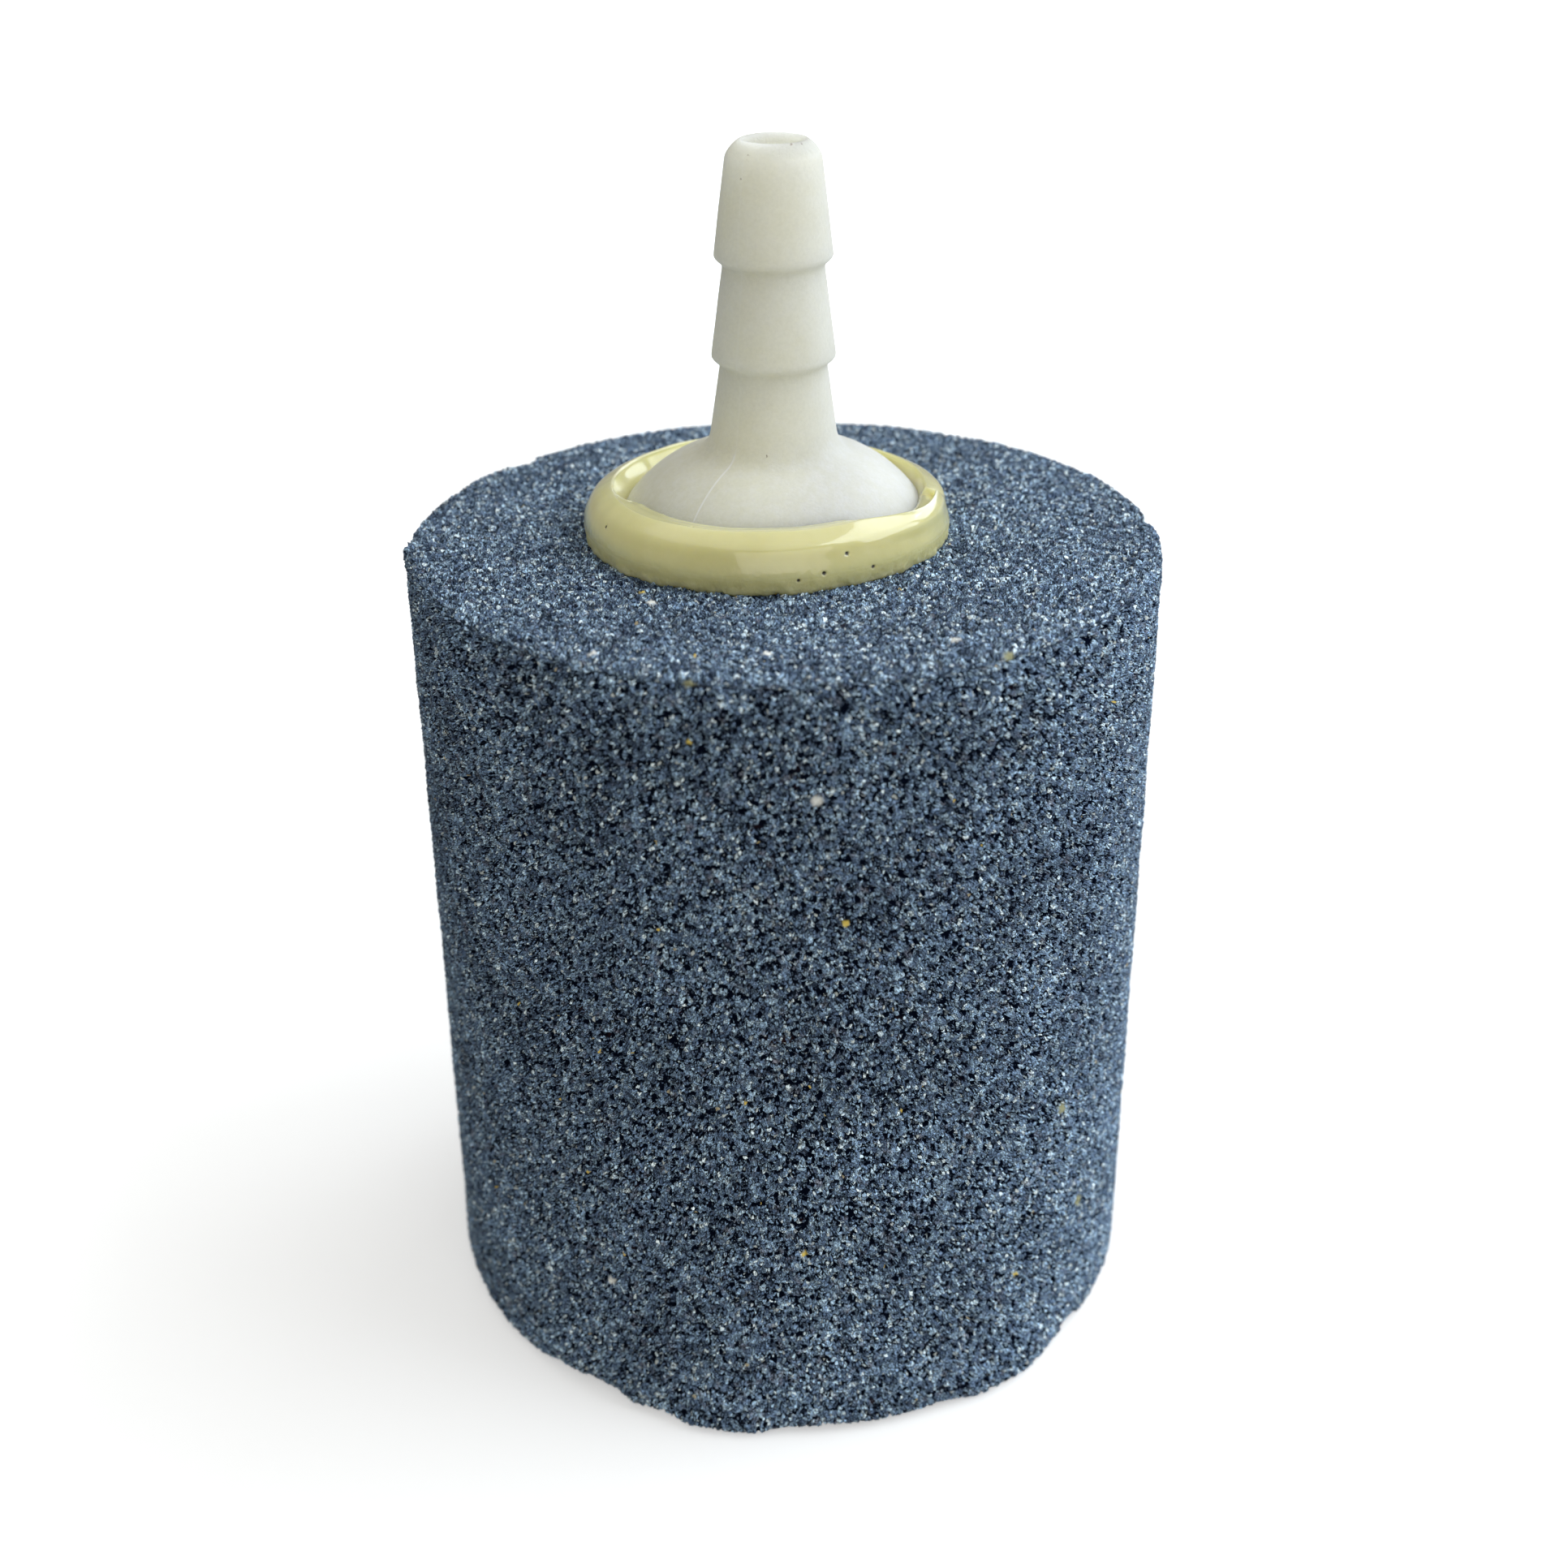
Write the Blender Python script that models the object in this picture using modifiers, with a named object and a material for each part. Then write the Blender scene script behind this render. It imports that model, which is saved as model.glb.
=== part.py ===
"""Pond air stone: a porous cylinder with a barbed hose connector glued into its top.

Frame: origin at the centre of the stone's bottom face, +Z up along the stone's axis.
Units are metres. The four pieces are bonded together, so nothing moves.
"""
import math

import bpy

# ---- Stone --------------------------------------------------------------------------
STONE_RADIUS = 0.025
STONE_HEIGHT = 0.056
TOP_EDGE = 0.0008               # radius of the worn top rim
BOTTOM_EDGE = 0.0012            # radius of the worn bottom rim
CHAMBER_RADIUS = 0.006
CHAMBER_DEPTH = 0.040
CHAMBER_DISH = 0.002            # depth of the chamber's dished floor

# ---- Hose connector: heights are above the stone's top face -------------------------
CONNECTOR_X = -0.0007           # the connector stands this far off the stone's axis
CONNECTOR_HEIGHT = 0.0254
BORE_RADIUS = 0.00185
BORE_LEAD = 0.0002              # chamfer round the mouth of the bore
TIP_RADIUS = 0.00303            # outside, just below the sloping tip
TIP_SLOPE = (0.0009, 0.0010)    # width and height of the soft slope round the tip
TIP_BOW = 0.0001                # how far that slope stands proud of a straight line
BARB_RADII = (0.00378, 0.00400)     # upper barb, lower barb, at their widest edges
BARB_HEIGHTS = (0.0182, 0.01185)
BARB_LAND = 0.0002              # height of the narrow land at a barb's widest edge
BARB_STEP = 0.00055             # how far a barb stands proud of the cone below it
BARB_UNDERCUT = 0.00045         # height of the sloping underside of a barb
NECK_FOOT = (0.00413, 0.0068)   # radius and height where the neck turns into its fillet
DOME_START = (0.0050, 0.00565)  # radius and height where the fillet turns into the dome
FLANGE_RADIUS = 0.0098
FLANGE_RIM_HEIGHT = 0.0021
FLANGE_LIP = 0.0002             # chamfer under the flange's rim
FILLET_BOW = 0.0002             # how far the neck's fillet hollows off a straight line
DOME_BOW = 0.0005               # how far the dome bulges off a straight line
SPIGOT_RADIUS = 0.0040
SPIGOT_LENGTH = 0.0140
SPIGOT_LEAD = (0.0004, 0.0008)  # width and height of the chamfer at the spigot's end
GROOVE_DEPTH = 0.0007           # the glue grooves' sides slope at 45 degrees
GROOVE_WIDTH = 0.0009           # across the floor of a groove
GROOVE_LEVELS = (-0.0045, -0.0090)

# ---- Adhesive: heights are above the stone's top face -------------------------------
BEAD_X = -0.0012                # the bead is run by hand, a little further off the axis
BEAD_RADIUS = 0.0103            # of the ring along the bead's crest
BEAD_WIDTH_OUT = 0.0018         # from the crest out to the widest line
BEAD_WIDTH_IN = 0.0017          # from the crest in over the flange
BEAD_MIDDLE = 0.0019            # height of the bead's widest line
BEAD_HEIGHT = 0.00355
BEAD_TUCK = math.radians(-56)   # angle to which the bead's outer face curls under
SLEEVE_TOP = -0.0010
SLEEVE_BOTTOM = -0.0125

# ---- Fits, facets and finishes ------------------------------------------------------
GAP = 0.0003                    # clearance between neighbouring pieces
STONE_STEPS = 96
ROUND_STEPS = 64
SHARP_ANGLE = math.radians(30)
MERGE = 0.00001
FINISHES = {                    # material name, colour and roughness of each piece
    "stone_body": ("bonded_grain", (0.075, 0.100, 0.150), 0.95),
    "hose_connector": ("nylon", (0.72, 0.72, 0.66), 0.45),
    "adhesive_bead": ("cured_epoxy", (0.62, 0.58, 0.33), 0.25),
    "spigot_adhesive": ("bedding_epoxy", (0.60, 0.55, 0.32), 0.35),
}
AT_STONE = (0, 0, 0)
AT_MOUTH = (0, 0, STONE_HEIGHT)
AT_CONNECTOR = (CONNECTOR_X, 0, STONE_HEIGHT)
AT_BEAD = (BEAD_X, 0, STONE_HEIGHT)


# ---- Outlines, as (radius, height) points running down the outside ------------------
def rounded(centre, size, start, end, count):
    """Points on an ellipse of half-widths size about centre, from one angle to another."""
    points = []
    for index in range(count + 1):
        angle = start + (end - start) * index / count
        points.append((centre[0] + size[0] * math.cos(angle),
                       centre[1] + size[1] * math.sin(angle)))
    return points


def bowed(start, end, bow, count):
    """Points from start to end on a curve that stands bow off the straight line."""
    run = end[0] - start[0]
    rise = end[1] - start[1]
    points = []
    for index in range(count + 1):
        along = index / count
        lift = 4 * bow * along * (1 - along) / math.hypot(run, rise)
        points.append((start[0] + run * along - rise * lift,
                       start[1] + rise * along + run * lift))
    return points


def stone_outline():
    """The stone before its chamber is cut, from the middle of its top to its base."""
    top = rounded((STONE_RADIUS - TOP_EDGE, STONE_HEIGHT - TOP_EDGE), (TOP_EDGE, TOP_EDGE),
                  math.pi / 2, 0, 3)
    bottom = rounded((STONE_RADIUS - BOTTOM_EDGE, BOTTOM_EDGE), (BOTTOM_EDGE, BOTTOM_EDGE),
                     0, -math.pi / 2, 4)
    return [(0, STONE_HEIGHT)] + top + bottom + [(0, 0)]


def chamber_outline():
    """The air chamber, from just above the stone's top face down to its dished floor."""
    mouth = STONE_HEIGHT + GAP
    dish_top = STONE_HEIGHT - CHAMBER_DEPTH + CHAMBER_DISH
    dish = rounded((0, dish_top), (CHAMBER_RADIUS, CHAMBER_DISH), 0, -math.pi / 2, 4)
    return [(0, mouth), (CHAMBER_RADIUS, mouth)] + dish[:-1] + [(0, dish[-1][1])]


def barbs_outline():
    """Both hose barbs: each has a narrow land and a sloping underside."""
    points = []
    for radius, height in zip(BARB_RADII, BARB_HEIGHTS):
        points += [(radius, height + BARB_LAND), (radius, height),
                   (radius - BARB_STEP, height - BARB_UNDERCUT)]
    return points


def flange_outline(grow):
    """The neck's fillet and the domed flange, grown outwards by a clearance."""
    neck = (NECK_FOOT[0] + grow, NECK_FOOT[1] + grow)
    dome = (DOME_START[0] + grow, DOME_START[1] + grow)
    rim = (FLANGE_RADIUS + grow, FLANGE_RIM_HEIGHT + grow)
    return bowed(neck, dome, -FILLET_BOW, 3)[:-1] + bowed(dome, rim, DOME_BOW, 8)


def spigot_outline(grow):
    """The spigot with its glue grooves, grown outwards by a clearance."""
    outside = SPIGOT_RADIUS + grow
    floor = outside - GROOVE_DEPTH
    inner_half = GROOVE_WIDTH / 2
    outer_half = inner_half + GROOVE_DEPTH
    points = [(outside, GAP)]
    for level in GROOVE_LEVELS:
        points += [(outside, level + outer_half), (floor, level + inner_half),
                   (floor, level - inner_half), (outside, level - outer_half)]
    points += [(outside, SPIGOT_LEAD[1] - SPIGOT_LENGTH),
               (outside - SPIGOT_LEAD[0], -SPIGOT_LENGTH)]
    return points


def connector_outline():
    """The whole connector, from the mouth of its bore down its outside to its lower end."""
    mouth = [(BORE_RADIUS, CONNECTOR_HEIGHT - BORE_LEAD),
             (BORE_RADIUS + BORE_LEAD, CONNECTOR_HEIGHT)]
    tip = bowed((TIP_RADIUS - TIP_SLOPE[0], CONNECTOR_HEIGHT),
                (TIP_RADIUS, CONNECTOR_HEIGHT - TIP_SLOPE[1]), TIP_BOW, 4)
    rim = [(FLANGE_RADIUS, GAP + FLANGE_LIP), (FLANGE_RADIUS - FLANGE_LIP, GAP)]
    return (mouth + tip + barbs_outline() + flange_outline(0) + rim + spigot_outline(0)
            + [(BORE_RADIUS, -SPIGOT_LENGTH)])


def bead_outline():
    """The adhesive bead before the flange's space is taken out of it."""
    crest = (BEAD_RADIUS, BEAD_MIDDLE)
    rise = BEAD_HEIGHT - BEAD_MIDDLE
    inner = rounded(crest, (BEAD_WIDTH_IN, rise), math.pi, math.pi / 2, 5)
    outer = rounded(crest, (BEAD_WIDTH_OUT, rise), math.pi / 2, BEAD_TUCK, 9)
    return [(inner[0][0], GAP)] + inner[:-1] + outer + [(outer[-1][0], GAP)]


def flange_space_outline():
    """The space that the flange needs inside the bead."""
    dome = flange_outline(GAP)
    below = -GAP
    return [(0, dome[0][1])] + dome + [(dome[-1][0], below), (0, below)]


def sleeve_outline():
    """The bedding sleeve before the spigot's space is taken out of it."""
    radius = CHAMBER_RADIUS - GAP
    return [(0, SLEEVE_TOP), (radius, SLEEVE_TOP), (radius, SLEEVE_BOTTOM), (0, SLEEVE_BOTTOM)]


def spigot_space_outline():
    """The space that the spigot needs inside the sleeve."""
    spigot = spigot_outline(GAP)
    return [(0, spigot[0][1])] + spigot + [(0, spigot[-1][1])]


# ---- Modelling ----------------------------------------------------------------------
def clear_scene():
    """Remove every object that the scene starts with."""
    for old in list(bpy.data.objects):
        bpy.data.objects.remove(old, do_unlink=True)


def new_collection(name):
    """Make a collection and link it to the scene."""
    collection = bpy.data.collections.new(name)
    bpy.context.scene.collection.children.link(collection)
    return collection


def new_material(name, colour, roughness):
    """Make a non-metallic Principled material."""
    material = bpy.data.materials.new(name)
    material.use_nodes = True
    shader = material.node_tree.nodes["Principled BSDF"]
    shader.inputs["Base Color"].default_value = (*colour, 1)
    shader.inputs["Roughness"].default_value = roughness
    shader.inputs["Metallic"].default_value = 0
    return material


def turned(name, outline, steps, location, collection, closed=False):
    """Turn an outline about the piece's own Z axis with a Screw modifier."""
    edges = [(index, index + 1) for index in range(len(outline) - 1)]
    if closed:
        edges.append((len(outline) - 1, 0))
    mesh = bpy.data.meshes.new(name)
    mesh.from_pydata([(radius, 0, height) for radius, height in outline], edges, [])
    piece = bpy.data.objects.new(name, mesh)
    piece.location = location
    collection.objects.link(piece)
    screw = piece.modifiers.new("turn", "SCREW")
    screw.steps = steps
    screw.render_steps = steps
    screw.use_merge_vertices = True
    screw.merge_threshold = MERGE
    return piece


def turned_cutter(name, outline, location, collection):
    """A turned shape that only cuts, so it is shown as wire and never rendered."""
    cutter = turned(name, outline, ROUND_STEPS, location, collection)
    cutter.display_type = "WIRE"
    cutter.hide_render = True
    return cutter


def cut(piece, cutter):
    """Take the cutter's space out of a piece."""
    boolean = piece.modifiers.new("cut", "BOOLEAN")
    boolean.operation = "DIFFERENCE"
    boolean.solver = "EXACT"
    boolean.object = cutter


def finish(piece):
    """Apply the piece's modifiers, shade its round faces and give it its material."""
    graph = bpy.context.evaluated_depsgraph_get()
    mesh = bpy.data.meshes.new_from_object(piece.evaluated_get(graph))
    mesh.name = piece.name
    mesh.shade_smooth()
    mesh.set_sharp_from_angle(angle=SHARP_ANGLE)
    mesh.materials.clear()
    mesh.materials.append(new_material(*FINISHES[piece.name]))
    piece.modifiers.clear()
    piece.data = mesh


# ---- The pieces ---------------------------------------------------------------------
def build_stone(parts, cutters):
    """The porous block with its blind air chamber."""
    stone = turned("stone_body", stone_outline(), STONE_STEPS, AT_STONE, parts)
    cut(stone, turned_cutter("chamber_space", chamber_outline(), AT_STONE, cutters))
    finish(stone)


def build_connector(parts):
    """The barbed connector, with its flange on the stone and its spigot in the chamber."""
    finish(turned("hose_connector", connector_outline(), ROUND_STEPS, AT_CONNECTOR, parts,
                  closed=True))


def build_bead(parts, cutters):
    """The glossy bead of adhesive round the flange."""
    bead = turned("adhesive_bead", bead_outline(), ROUND_STEPS, AT_BEAD, parts, closed=True)
    cut(bead, turned_cutter("flange_space", flange_space_outline(), AT_CONNECTOR, cutters))
    finish(bead)


def build_sleeve(parts, cutters):
    """The sleeve of adhesive that beds the spigot in the mouth of the chamber."""
    sleeve = turned("spigot_adhesive", sleeve_outline(), ROUND_STEPS, AT_MOUTH, parts)
    cut(sleeve, turned_cutter("spigot_space", spigot_space_outline(), AT_CONNECTOR, cutters))
    finish(sleeve)


def build():
    """Model the whole air stone."""
    clear_scene()
    parts = new_collection("air_stone")
    cutters = new_collection("cutters")
    build_stone(parts, cutters)
    build_connector(parts)
    build_bead(parts, cutters)
    build_sleeve(parts, cutters)


build()
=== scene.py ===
"""Looks for the pond air stone: grain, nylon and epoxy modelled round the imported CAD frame.

Units are metres, in the CAD's own frame: the stone stands on Z = 0 with its axis on Z.
Azimuths are degrees about an upright axis, 0 towards +X and -90 towards the camera.
"""
from math import cos, pi, radians, sin

import bpy
import numpy as np
from mathutils import Matrix, Vector, noise


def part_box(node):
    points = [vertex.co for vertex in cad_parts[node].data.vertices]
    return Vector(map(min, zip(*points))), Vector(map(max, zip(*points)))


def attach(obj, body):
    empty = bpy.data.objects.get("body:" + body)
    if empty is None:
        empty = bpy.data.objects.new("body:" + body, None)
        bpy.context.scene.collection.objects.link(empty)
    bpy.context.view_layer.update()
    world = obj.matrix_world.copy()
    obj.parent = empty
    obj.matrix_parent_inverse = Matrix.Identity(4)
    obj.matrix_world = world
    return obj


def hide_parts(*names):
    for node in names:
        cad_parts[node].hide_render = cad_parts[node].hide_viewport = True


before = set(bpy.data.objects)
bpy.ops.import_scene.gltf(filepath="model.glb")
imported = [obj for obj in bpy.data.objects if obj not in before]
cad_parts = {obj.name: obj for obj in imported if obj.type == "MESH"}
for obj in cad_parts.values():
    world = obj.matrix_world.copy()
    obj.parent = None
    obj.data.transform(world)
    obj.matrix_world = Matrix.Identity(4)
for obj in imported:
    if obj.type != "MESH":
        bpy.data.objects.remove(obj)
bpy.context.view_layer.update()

# ---- Places and sizes read from the frame ----
MM = 0.001
STONE_LOW, STONE_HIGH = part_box("stone_body")
CONNECTOR_LOW, CONNECTOR_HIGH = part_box("hose_connector")
BEAD_LOW, BEAD_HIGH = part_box("adhesive_bead")
SLEEVE_LOW, SLEEVE_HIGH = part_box("spigot_adhesive")
STONE_RADIUS = (STONE_HIGH[0] - STONE_LOW[0]) / 2
STONE_TOP = STONE_HIGH[2]
CONNECTOR_X = (CONNECTOR_LOW[0] + CONNECTOR_HIGH[0]) / 2
CONNECTOR_HEIGHT = CONNECTOR_HIGH[2] - STONE_TOP
BEAD_X = (BEAD_LOW[0] + BEAD_HIGH[0]) / 2
BEAD_RADIUS = (BEAD_HIGH[0] - BEAD_LOW[0]) / 2
BEAD_HEIGHT = BEAD_HIGH[2] - STONE_TOP
SLEEVE_RADIUS = (SLEEVE_HIGH[0] - SLEEVE_LOW[0]) / 2

# ---- Stone: shape ----
RIM_CELLS = 140                 # mesh cells from the middle of a stone face to its rim
TOP_EDGE = 0.7 * MM             # rounding of the edge round the top
BOTTOM_EDGE = 1.0 * MM          # rounding of the edge round the foot
EDGE_STEPS = 12
SLEEVE_GAP = 0.3 * MM           # between the chamber's wall and the epoxy sleeve
CHAMBER_RADIUS = SLEEVE_RADIUS + SLEEVE_GAP
CHAMBER_FLOOR = 16 * MM         # height of the chamber's floor above the foot
WALL_COARSENESS = 3             # the hidden wall's rows are this much further apart
UV_SHEET = 0.130                # side of the square on which the faces are laid out
UV_SIDE_ROWS = (0.0015, 0.060)  # places of the side's two halves, up the sheet
UV_PATCHES = {                  # place right of the unrolled side, place up the sheet, scale
    "top": (0.027, 0.027, 1.0),
    "bottom": (0.027, 0.080, 1.0),
    "wall": (0.005, 0.108, 0.35),
    "floor": (0.030, 0.115, 0.5),
}

# ---- Stone: surface; AREAS are the noise values between which a pattern sets in ----
GRITTY = (3, 0.6)               # detail and roughness of the grittier noises
GRAIN = 0.25 * MM               # spacing of the bonded grains
GRAIN_BENDS = (0.50 * MM, 0.26 * MM), (0.14 * MM, 0.10 * MM)    # size, reach
GRAIN_RISE = 0.10 * MM          # how far one grain can stand above another
GRAIN_SINK = 1.2 * GRAIN_RISE   # sets the grains about the CAD's surface, not on top of it
ROUND_SHARE = 0.30              # a grain is rounded off up to this share of its size
GRIT_SIZE, GRIT_RISE = 0.28 * MM, 0.03 * MM
WAVE_SIZE, WAVE_RISE = 5 * MM, 0.07 * MM
PORE_DEPTH = 0.20 * MM
PORE_SHARE = 0.08               # how many grains are missing
PORE_BLEND = 0.02
CRACK_SIZE = 0.5 * MM           # spacing of the wider cracks
CRACK_AREAS = (-0.5, 1.2)
CRACK_WIDTHS = (0.02, 0.25)     # gaps between grains, as shares of a grain
CRACK_BLEND = 0.05
HOLLOW_SIZE = 0.16 * MM
HOLLOW_AREAS = (-0.72, -0.50)
PACKED_LAYER = 0.8 * MM         # the top was pressed flat, so its pores are shallower
PACKED_PORES = 0.85
WEAR_REACH = 1.9 * MM           # how far from the top edge the wear goes
WEAR_CORE = 0.2 * MM            # and how far it is full
WEAR_FRONT, WEAR_BACK = 0.34 * MM, 0.05 * MM
BITE_SIZE, BITES = 1.7 * MM, (0.3, 1.7)
DENT_BEND = (0.8 * MM, 1.2 * MM)
DENT_SOFTNESS = 0.45
STONE_DENTS = [                 # azimuth, level (0 foot, 1 top), then in mm size and depth
    (-123, 0.00, 2.0, 0.50),
    (-131, 0.00, 1.4, 0.30),
    (-101, 0.00, 3.2, -0.50),
    (-53, 0.00, 3.6, -0.50),
    (-36, 0.01, 1.2, 0.30),
    (-176, 0.985, 0.9, -0.3),
    (5, 0.99, 1.0, 0.4),
    (160, 0.00, 2.6, 0.8),
    (60, 0.00, 1.8, 0.6),
    (141, 1.00, 1.1, 0.4),
]
GRAIN_TONES = [                 # share of grains up to here, colour
    (0.00, (0.040, 0.066, 0.118)),
    (0.25, (0.094, 0.144, 0.230)),
    (0.55, (0.150, 0.226, 0.332)),
    (0.80, (0.234, 0.337, 0.446)),
    (0.93, (0.350, 0.456, 0.548)),
    (1.00, (0.600, 0.690, 0.730)),
]
BROWN_SIZE, BROWN_AREAS = 0.7 * MM, (0.1, 1.1)
BROWN_TINT = (0.170, 0.160, 0.180)
RUST_SIZE, RUST_AREAS = 1.3 * MM, (0.5, 1.0)
# painted shade in the pores, cracks and hollows between grains, some of it with a rust tint
PORE_PAINTED_SHADE = (0.002, 0.004, 0.012)
PORE_RUSTY_PAINTED_SHADE = (0.020, 0.010, 0.012)
FACET = 0.070 * MM              # spacing of the facets on a grain
FACET_SHADES = (0.20, 2.30)
FACET_ROUGHNESS = (0.40, 0.90)
SPECK_SIZE = 0.09 * MM
SPECK_SHADES = (0.60, 1.45)
SPECK_RISE = 0.02 * MM
CLUMP_SIZE, DRIFT_SIZE = 1.0 * MM, 7 * MM
DRIFT_SHADES = (0.82, 1.18)
NOISE_SPAN = 0.8                # noise value where specks and clumps get full shade
# painted shade on the top face, which takes the most light from above
TOP_PAINTED_SHADE = 0.97
FOOT_SHADE = 1.25               # the stone is paler towards its foot
FOOT_REACH = 0.6 * STONE_TOP
RARE_GRAINS = [                 # share of grains up to here, colour; later ones win
    (0.0080, (0.62, 0.67, 0.66)),
    (0.0012, (0.50, 0.42, 0.26)),
    (0.0005, (0.85, 0.62, 0.14)),
]
WHITE = (0.95, 0.96, 0.92)
YELLOW = (0.85, 0.66, 0.16)
STAINED = (0.40, 0.40, 0.24)
LARGE_GRAIN_BEND = (0.25 * MM, 0.14 * MM)
LARGE_GRAINS = [                # azimuth, radius and height as shares, size in mm, colour
    (-62, 0.852, 1.0, 0.30, WHITE),
    (-123, 0.604, 1.0, 0.30, WHITE),
    (-93, 0.832, 1.0, 0.28, WHITE),
    (-119, 0.930, 1.0, 0.26, WHITE),
    (-86, 1.0, 0.865, 0.32, WHITE),
    (-119, 1.0, 0.192, 0.28, WHITE),
    (-129, 0.564, 1.0, 0.18, YELLOW),
    (-82, 1.0, 0.715, 0.20, YELLOW),
    (-103, 1.0, 0.928, 0.18, YELLOW),
    (-88, 1.0, 0.275, 0.20, YELLOW),
    (-52, 1.0, 0.163, 0.20, YELLOW),
    (-58, 0.985, 0.997, 0.40, STAINED),
    (-103, 0.990, 0.995, 0.38, STAINED),
    (-43, 1.0, 0.375, 0.36, STAINED),
    (-36, 1.0, 0.205, 0.36, STAINED),
    (75, 1.0, 0.550, 0.30, WHITE),
    (140, 1.0, 0.300, 0.22, YELLOW),
]

# ---- Hose connector ----
CONNECTOR_COLUMNS = 256
CONNECTOR_ROW = 0.13 * MM       # spacing of the mesh rows that can be seen
HIDDEN_SHARE = 0.35             # hidden faces get this share of the rows
COVERED = 0.5 * MM              # the bead covers the connector up to here above the stone
BORE_RADIUS = 2.0 * MM          # the outline is the wall of the bore up to this radius
CORNER_EASING = 0.25 * MM
CORNER_STEPS = 6
CONNECTOR_LEAN = 0.0095         # it was set by hand, a little out of line with the stone
SAME_PLACE = 0.001 * MM         # CAD points this close to a plane lie in it
MOULD_WAVE_SIZE, MOULD_WAVE_RISE = 3 * MM, 0.010 * MM
PARTING_AZIMUTH = -124.5
PARTING_WIDTH, PARTING_RISE = 0.11 * MM, 0.050 * MM
PARTING_LEVELS = (5.6 * MM, 7 * MM)     # heights above the stone between which it fades
MARK_BEND = (0.25 * MM, 0.45 * MM)
MARK_SOFTNESS = 0.5
CONNECTOR_MARKS = [             # azimuth, then in mm radius, height on the stone, size
    (-118, 2.70, 24.8, 0.07),
    (-118, 2.80, 24.5, 0.06),
    (-125, 3.02, 23.4, 0.07),
    (-55, 2.30, 25.3, 0.08),
    (-38, 2.50, 25.3, 0.07),
    (-150, 2.60, 25.0, 0.07),
    (-95, 4.20, 6.5, 0.07),
]
NYLON_TONES = (0.79, 0.775, 0.645), (0.835, 0.825, 0.705)
NYLON_CLOUD_SIZE = 3.5 * MM
NYLON_BLOOM = (0.94, 0.94, 0.92)
BLOOM_SIZE, BLOOM_AREAS = 0.8 * MM, (-0.6, 0.8)
BLOOM_LEVELS = (5 * MM, 8 * MM)
FROST_SIZE, FROST_RISE = 0.22 * MM, 0.009 * MM
FROST_SHADES = (0.97, 1.03)
FROST_ROUGHNESS = (0.32, 0.52)
TIP_START = CONNECTOR_HEIGHT - 1.2 * MM         # the cut tip is frosted
TIP_FULL = CONNECTOR_HEIGHT - 0.4 * MM
NYLON_LINE = (0.98, 0.98, 0.96)
NYLON_TIP = (0.62, 0.63, 0.57)
NYLON_MARK = (0.20, 0.13, 0.08)
PAINTED_SIDE_REACH = 4 * MM             # the painted light and shade below go from -X to +X over twice this width
PAINTED_SIDE_LIGHT_AND_SHADE = (1.18, 1.15, 1.04), (0.79, 0.795, 0.85)    # painted light on the -X side and painted shade on the +X side, for light the nylon carries across
DOME_PAINTED_SHADES = (0.78, 0.81, 0.89), (0.98, 0.99, 1.02)     # painted shade on the thin flange over dark stone, deeper on its -X side
DOME_LEVELS = (4 * MM, 9 * MM)
NYLON_SCATTER = 5.0 * MM
NYLON_SCATTER_TINT = (1.0, 0.97, 0.85)

# ---- Epoxy bead ----
BEAD_COLUMNS = 900
BEAD_STEPS = 10                 # points between two corners of the bead's section
SEAM_END = -4                   # azimuth where the bead's end, lapped over its start, stops
FULL_RUN = (-178, -150, -60, -34)               # azimuths: start, full, fading, end
BARED_RUN = (-55, -20, 15, 60)
LOW_RUN = (-60, -20, 20, 70)
TONGUE_RUN = (-56, -18, SEAM_END - 3, SEAM_END)
LAP_RADIUS, LAP_HEIGHT = 9.60 * MM, 2.30 * MM   # inner edge, where the bead meets the flange
BEAD_SUNK = 0.25 * MM           # the bead's underside goes this far into the grain
BEAD_WAVE_SIZE, BEAD_WAVE_RISE = 4 * MM, 0.030 * MM
FOOT_LEVELS = (0.15 * MM, 1.1 * MM)     # heights above the stone between which it fades
FOOT_SIZE, FOOT_RISE = 0.9 * MM, 0.12 * MM
SAND_LEVELS = (0.8 * MM, 2.4 * MM)
SAND_SIZE, SAND_RISE = 0.35 * MM, 0.015 * MM
PIT_DEPTH = 0.14 * MM
PIT_SOFTNESS = 0.35
BEAD_PITS = [                   # azimuth, then in mm radius, height on the stone, size
    (-48, 9.70, 3.36, 0.12),
    (-46, 9.85, 3.40, 0.14),
    (-50, 9.95, 3.40, 0.10),
    (-64, 11.65, 2.2, 0.14),
    (-55, 11.80, 1.0, 0.12),
    (-72, 11.80, 1.2, 0.13),
    (-80, 11.80, 0.9, 0.11),
    (-117, 10.0, 3.5, 0.09),
    (-151, 11.7, 2.4, 0.10),
    (40, 11.6, 2.6, 0.11),
    (120, 11.9, 1.8, 0.12),
]
EPOXY_TONES = (0.69, 0.65, 0.31), (0.74, 0.70, 0.36)
EPOXY_CLOUD_SIZE = 2.5 * MM
EPOXY_FOOT = (0.50, 0.46, 0.20)
EPOXY_DUST = (0.25, 0.20, 0.10)
DUST_AREAS = (0.55, 1.1)
DUST_LEVELS = (0.2 * MM, 1.7 * MM)
DUST_SIZE, DUST_RISE = 0.18 * MM, 0.012 * MM
EPOXY_PIT = (0.03, 0.02, 0.01)
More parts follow.
